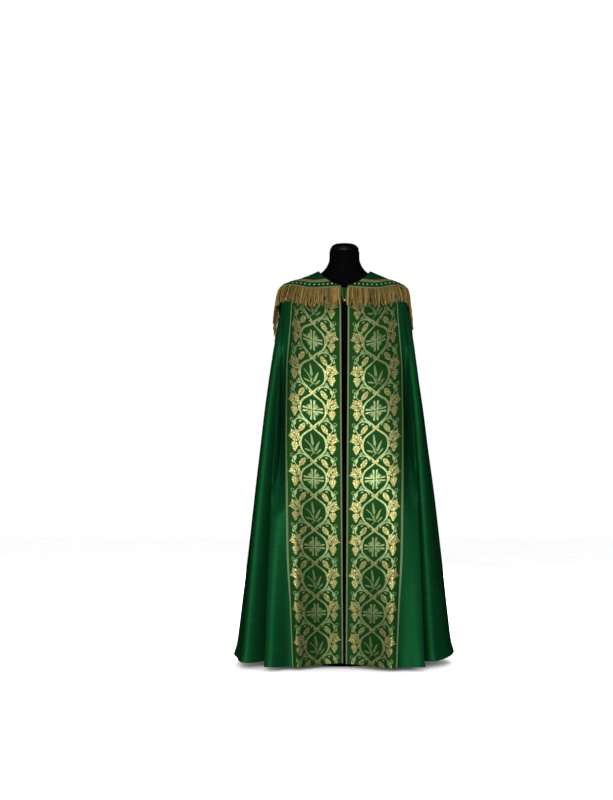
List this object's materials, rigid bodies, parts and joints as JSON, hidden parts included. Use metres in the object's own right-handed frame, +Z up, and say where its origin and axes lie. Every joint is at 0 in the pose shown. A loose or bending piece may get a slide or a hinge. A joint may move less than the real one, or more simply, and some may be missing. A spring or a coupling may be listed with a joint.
{
  "type": "cope vestment on a limbless dress form",
  "caption": "Green satin cope with brocade front bands, a pointed hood and a bullion fringe, hanging open in front on a black dress form.",
  "frame": {"origin": "middle of the underside of the dress form's foot", "axes": "+Z up the pole, -Y the way the open front faces, +X to the right as the front is seen"},
  "size_m": [0.8529, 0.5719, 1.635],
  "materials": {
    "green_satin": "deep green ribbed satin",
    "gold_brocade": "green ground woven with old-gold vine, cross and wheat figures",
    "gold_braid": "twisted old-gold braid",
    "dotted_braid": "green woven braid with a row of pale stitches",
    "bullion_fringe": "dull old-gold twisted bullion",
    "black_form_cloth": "matt black jersey",
    "black_form_cap": "satin black cap",
    "black_stand_metal": "black satin paint",
    "nickel_wire": "worn pale nickel"
  },
  "bodies": {
    "root": {"closing_cord_left": "gold_braid", "closing_cord_right": "gold_braid", "closing_ring": "nickel_wire", "closing_tab": "green_satin", "cope_body": "green_satin", "form_foot": "black_stand_metal", "form_neck_cap": "black_form_cap", "form_pole": "black_stand_metal", "form_torso": "black_form_cloth", "hood": "green_satin", "hood_dotted_braid": "dotted_braid", "hood_fringe": "bullion_fringe", "hood_galloon": "gold_braid", "hood_header_cord": "gold_braid", "inner_braid_left": "gold_braid", "inner_braid_right": "gold_braid", "orphrey_left": "gold_brocade", "orphrey_right": "gold_brocade", "outer_braid_left": "gold_braid", "outer_braid_right": "gold_braid"}
  },
  "joints": []
}
